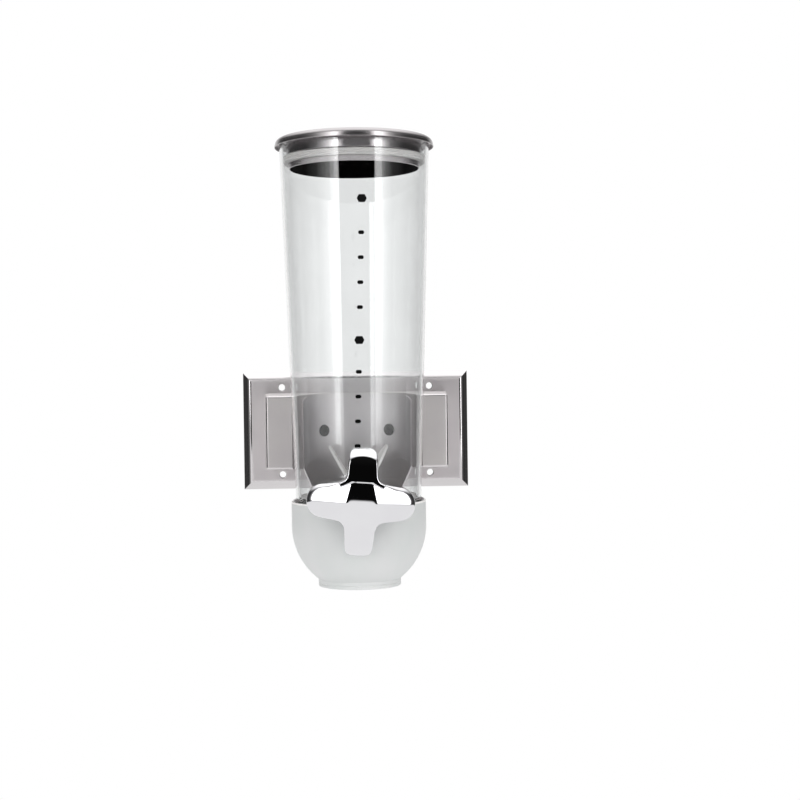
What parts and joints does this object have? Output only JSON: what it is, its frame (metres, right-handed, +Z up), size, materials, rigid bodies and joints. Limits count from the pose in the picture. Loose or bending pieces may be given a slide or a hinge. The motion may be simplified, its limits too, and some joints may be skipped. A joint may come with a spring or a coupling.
{
  "type": "wall-mounted dry food dispenser",
  "caption": "Wall-mounted dispenser for cereal or dry food: clear tapered canister with a steel lid over a frosted bowl, with a chrome knob that turns a metering wheel.",
  "frame": {"origin": "centre of the wall plate's back face, on the wall", "axes": "+Z up, +Y into the wall, +X to the right of someone who faces the dispenser"},
  "size_m": [0.201, 0.1679, 0.3774],
  "materials": {
    "fascia_steel": "vertical brushed stainless sheet",
    "cradle_metal": "satin die casting",
    "hanger_metal": "bright rolled sheet",
    "clear_plastic": "clear moulded, glossy",
    "frosted_plastic": "frosted moulded",
    "liner_plastic": "natural moulded",
    "silicone": "translucent moulded silicone",
    "chrome": "bright chrome plating on moulded plastic",
    "lid_steel": "polished stainless sheet",
    "dark_screw": "black oxide",
    "zinc_screw": "zinc plated",
    "backing_plastic": "moulded, fine texture",
    "bearing_plastic": "natural acetal",
    "shaft_steel": "ground stainless rod",
    "mark_ink": "screen-printed ink"
  },
  "bodies": {
    "wall_mount": {"fascia_plate": "fascia_steel", "backing_plate": "backing_plastic", "cradle": "cradle_metal", "cradle_screws": "zinc_screw", "hanger_plate": "hanger_metal", "hanger_screws": "dark_screw", "housing": "frosted_plastic", "housing_screws": "zinc_screw", "outlet_ring": "frosted_plastic", "metering_liner": "liner_plastic", "base_gasket": "silicone", "front_bush": "bearing_plastic", "rear_bush": "bearing_plastic"},
    "rotor": {"knob": "chrome", "knob_set_screw": "dark_screw", "shaft": "shaft_steel", "front_washer": "bearing_plastic", "rear_washer": "bearing_plastic", "retaining_clip": "shaft_steel", "paddle_hub": "bearing_plastic", "paddle_wheel": "silicone"},
    "canister": {"canister": "clear_plastic", "level_marks": "mark_ink"},
    "lid": {"lid_shell": "lid_steel", "lid_core": "lid_steel", "lid_seal": "silicone"}
  },
  "joints": [
    {"name": "knob_turn", "type": "hinge", "parent": "wall_mount", "child": "rotor", "pos_m": [0, -0.077, -0.053], "axis": [0, -1, 0], "continuous": true},
    {"name": "canister_lift", "type": "slide", "parent": "wall_mount", "child": "canister", "axis": [0, 0, 1], "range_m": [0, 0.09]},
    {"name": "lid_lift", "type": "slide", "parent": "canister", "child": "lid", "axis": [0, 0, 1], "range_m": [0, 0.06]}
  ]
}
